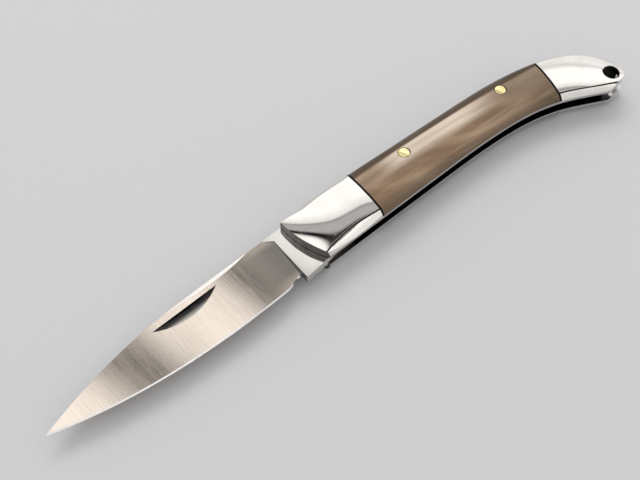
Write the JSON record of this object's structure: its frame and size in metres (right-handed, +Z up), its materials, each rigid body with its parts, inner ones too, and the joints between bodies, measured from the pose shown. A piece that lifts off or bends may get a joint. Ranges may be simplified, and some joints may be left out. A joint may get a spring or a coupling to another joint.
{
  "type": "folding pocket knife",
  "caption": "Slip-joint folding pocket knife with a spear-point blade, polished steel bolsters, horn handle scales, brass pins and a lanyard hole in the butt.",
  "frame": {"origin": "under the middle of the open knife, on the surface that it lies on", "axes": "+X from the blade's tip towards the butt, +Y towards the back of the handle, +Z up out of the mark side"},
  "size_m": [0.1632, 0.0248, 0.0084],
  "materials": {
    "blade_steel": "satin, brushed from spine to edge",
    "spring_steel": "satin",
    "liner_steel": "satin",
    "polished_steel": "mirror polished stainless steel",
    "horn": "polished brown horn with lengthwise streaks",
    "pin_brass": "polished",
    "washer_bronze": "plain phosphor bronze"
  },
  "bodies": {
    "handle": {"back_spring": "spring_steel", "pivot_pin": "polished_steel", "pivot_bushing": "spring_steel", "spring_centre_pin": "pin_brass", "spring_end_pin": "polished_steel", "mark_side_liner": "liner_steel", "pile_side_liner": "liner_steel", "mark_side_front_bolster": "polished_steel", "pile_side_front_bolster": "polished_steel", "mark_side_scale": "horn", "pile_side_scale": "horn", "mark_side_rear_bolster": "polished_steel", "pile_side_rear_bolster": "polished_steel", "mark_side_scale_pin": "pin_brass", "pile_side_scale_pin": "pin_brass", "mark_side_pivot_washer": "washer_bronze", "pile_side_pivot_washer": "washer_bronze", "mark_side_front_bolster_pins": "liner_steel", "pile_side_front_bolster_pins": "liner_steel", "mark_side_rear_bolster_pins": "liner_steel", "pile_side_rear_bolster_pins": "liner_steel"},
    "blade": {"blade": "blade_steel"}
  },
  "joints": [
    {"name": "blade_fold", "type": "hinge", "parent": "handle", "child": "blade", "pos_m": [-0.0043, 0.00356, 0.00422], "axis": [0, 0, 1], "range_deg": [0, 175.5], "deforming": ["back_spring"]}
  ]
}
